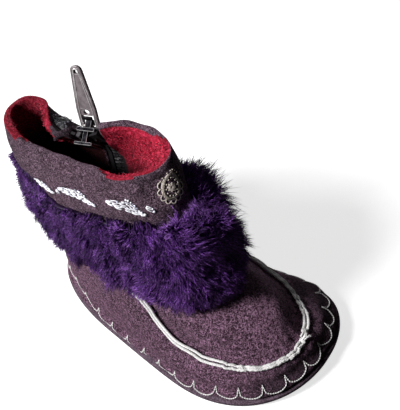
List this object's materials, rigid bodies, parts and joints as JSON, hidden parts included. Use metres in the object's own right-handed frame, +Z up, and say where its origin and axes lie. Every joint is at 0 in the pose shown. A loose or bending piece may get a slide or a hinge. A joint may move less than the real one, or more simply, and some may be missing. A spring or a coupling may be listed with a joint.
{
  "type": "baby bootee",
  "caption": "Soft baby ankle bootee for a right foot: round toe with a piped apron, slack fleece-lined shaft, deep fur band and a side zip with a hinged pull tab.",
  "frame": {"origin": "middle of the outline seen from above, on the plane the sole rests on", "axes": "+Y towards the toe, +X towards the wearer's right, which is the outer side, +Z up"},
  "size_m": [0.0647, 0.1339, 0.1092],
  "materials": {
    "felt": "napped felt and micro-suede, fleece inside",
    "sole_leather": "soft suede",
    "fleece": "fleece",
    "fur": "deep pile",
    "cord": "twin cord",
    "tape": "woven tape",
    "zip_metal": "dark nickel"
  },
  "bodies": {
    "bootee": {"upper": "felt", "outsole": "sole_leather", "insole": "fleece", "fur_band": "fur", "piping_long": "cord", "piping_short": "cord", "zip_tape_front": "tape", "zip_tape_back": "tape", "zip_chain": "zip_metal", "zip_slider": "zip_metal"},
    "pull": {"pull_tab": "zip_metal"}
  },
  "joints": [
    {"name": "pull_hinge", "type": "hinge", "parent": "bootee", "child": "pull", "pos_m": [-0.00955, -0.02658, 0.085], "axis": [0.2435, -0.9699, 0], "range_deg": [-45, 130]}
  ]
}
